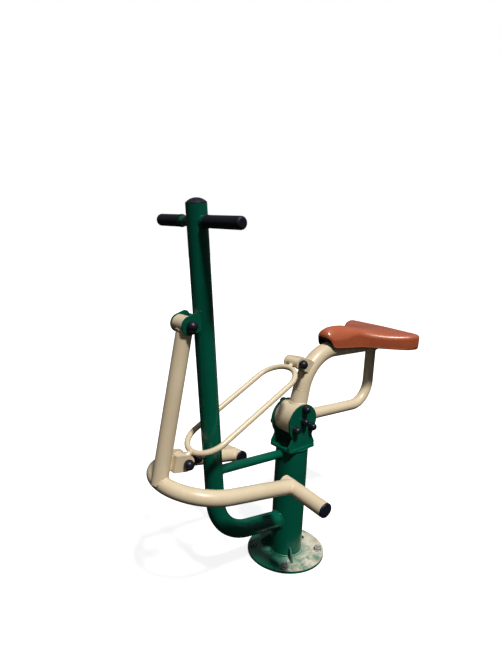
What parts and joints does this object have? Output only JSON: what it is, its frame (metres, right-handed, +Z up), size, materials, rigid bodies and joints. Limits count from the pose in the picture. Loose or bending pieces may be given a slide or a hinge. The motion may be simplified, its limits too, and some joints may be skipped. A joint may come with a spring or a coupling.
{
  "type": "outdoor leg press exerciser",
  "caption": "Outdoor leg press exerciser: a swinging foot lever on a leaning post lifts a saddle through a looped pull link; fixed handlebar, flanged ground column.",
  "frame": {"origin": "centre of the base flange's underside, on the column's axis, at ground level", "axes": "+Z up; +X from the front post towards the saddle, the way a seated user faces is -X; +Y to the left of the machine seen from behind the handlebar looking at the saddle, so XZ is the plane of symmetry"},
  "size_m": [1.0573, 0.5994, 1.2392],
  "materials": {
    "green_enamel": "glossy dark green enamel",
    "beige_enamel": "semi-gloss beige enamel",
    "zinc_steel": "zinc-plated steel",
    "black_plastic": "satin near-black moulded plastic",
    "grip_rubber": "satin near-black rubber",
    "bearing_nylon": "plain off-white bearing plastic",
    "saddle_skin": "terracotta moulded skin, soft sheen"
  },
  "bodies": {
    "frame": {"base_flange": "green_enamel", "column_tube": "green_enamel", "foot_gussets": "green_enamel", "yoke_saddle_plate": "green_enamel", "yoke_cheek_left": "green_enamel", "yoke_cheek_right": "green_enamel", "front_post": "green_enamel", "post_cap": "black_plastic", "handlebar_tube": "green_enamel", "left_grip": "grip_rubber", "right_grip": "grip_rubber", "brace_tube": "green_enamel", "lever_bracket": "green_enamel", "lever_pin": "zinc_steel", "lever_pin_nuts": "zinc_steel", "lever_pin_caps": "black_plastic", "hub_axle": "zinc_steel", "hub_axle_nuts": "zinc_steel", "limit_bolts": "zinc_steel", "limit_bolt_nuts": "zinc_steel", "hub_caps": "black_plastic", "stop_buffer": "grip_rubber", "stop_buffer_stud": "zinc_steel"},
    "seat_swing": {"hub_shell": "beige_enamel", "hub_limit_webs": "beige_enamel", "hub_boss": "beige_enamel", "hub_bearings": "bearing_nylon", "seat_arm_root": "beige_enamel", "seat_arm_tube": "beige_enamel", "seat_arm_plug": "black_plastic", "seat_strut": "beige_enamel", "seat_arm_ears": "beige_enamel", "rear_link_pin": "zinc_steel", "rear_link_pin_nut": "zinc_steel", "rear_link_pin_cap": "black_plastic", "seat_plate": "beige_enamel", "seat_bolts": "zinc_steel", "saddle": "saddle_skin"},
    "foot_lever": {"lever_bush": "beige_enamel", "lever_bearings": "bearing_nylon", "lever_tube": "beige_enamel", "foot_bar": "beige_enamel", "left_foot_peg": "beige_enamel", "right_foot_peg": "beige_enamel", "foot_peg_caps": "black_plastic", "link_bracket": "beige_enamel", "front_link_pin": "zinc_steel", "front_link_pin_nuts": "zinc_steel", "front_link_pin_caps": "black_plastic"},
    "pull_link": {"link_loop": "beige_enamel", "link_front_stub": "beige_enamel", "link_rear_stub": "beige_enamel", "link_front_bush": "beige_enamel", "link_rear_bush": "beige_enamel", "link_rear_bearings": "bearing_nylon"}
  },
  "joints": [
    {"name": "seat_hinge", "type": "hinge", "parent": "frame", "child": "seat_swing", "pos_m": [0, 0, 0.518], "axis": [0, -1, 0], "range_deg": [0, 25]},
    {"name": "lever_hinge", "type": "hinge", "parent": "frame", "child": "foot_lever", "pos_m": [-0.466, 0, 0.893], "axis": [0, 1, 0], "range_deg": [0, 14.2]},
    {"name": "link_hinge", "type": "hinge", "parent": "seat_swing", "child": "pull_link", "pos_m": [-0.015, 0, 0.721], "axis": [0, 1, 0], "range_deg": [0, 29.1]}
  ],
  "couplings": [
    {"joint": "lever_hinge", "follows": "seat_hinge", "ratio": 0.56792},
    {"joint": "link_hinge", "follows": "seat_hinge", "ratio": 1.1625}
  ]
}
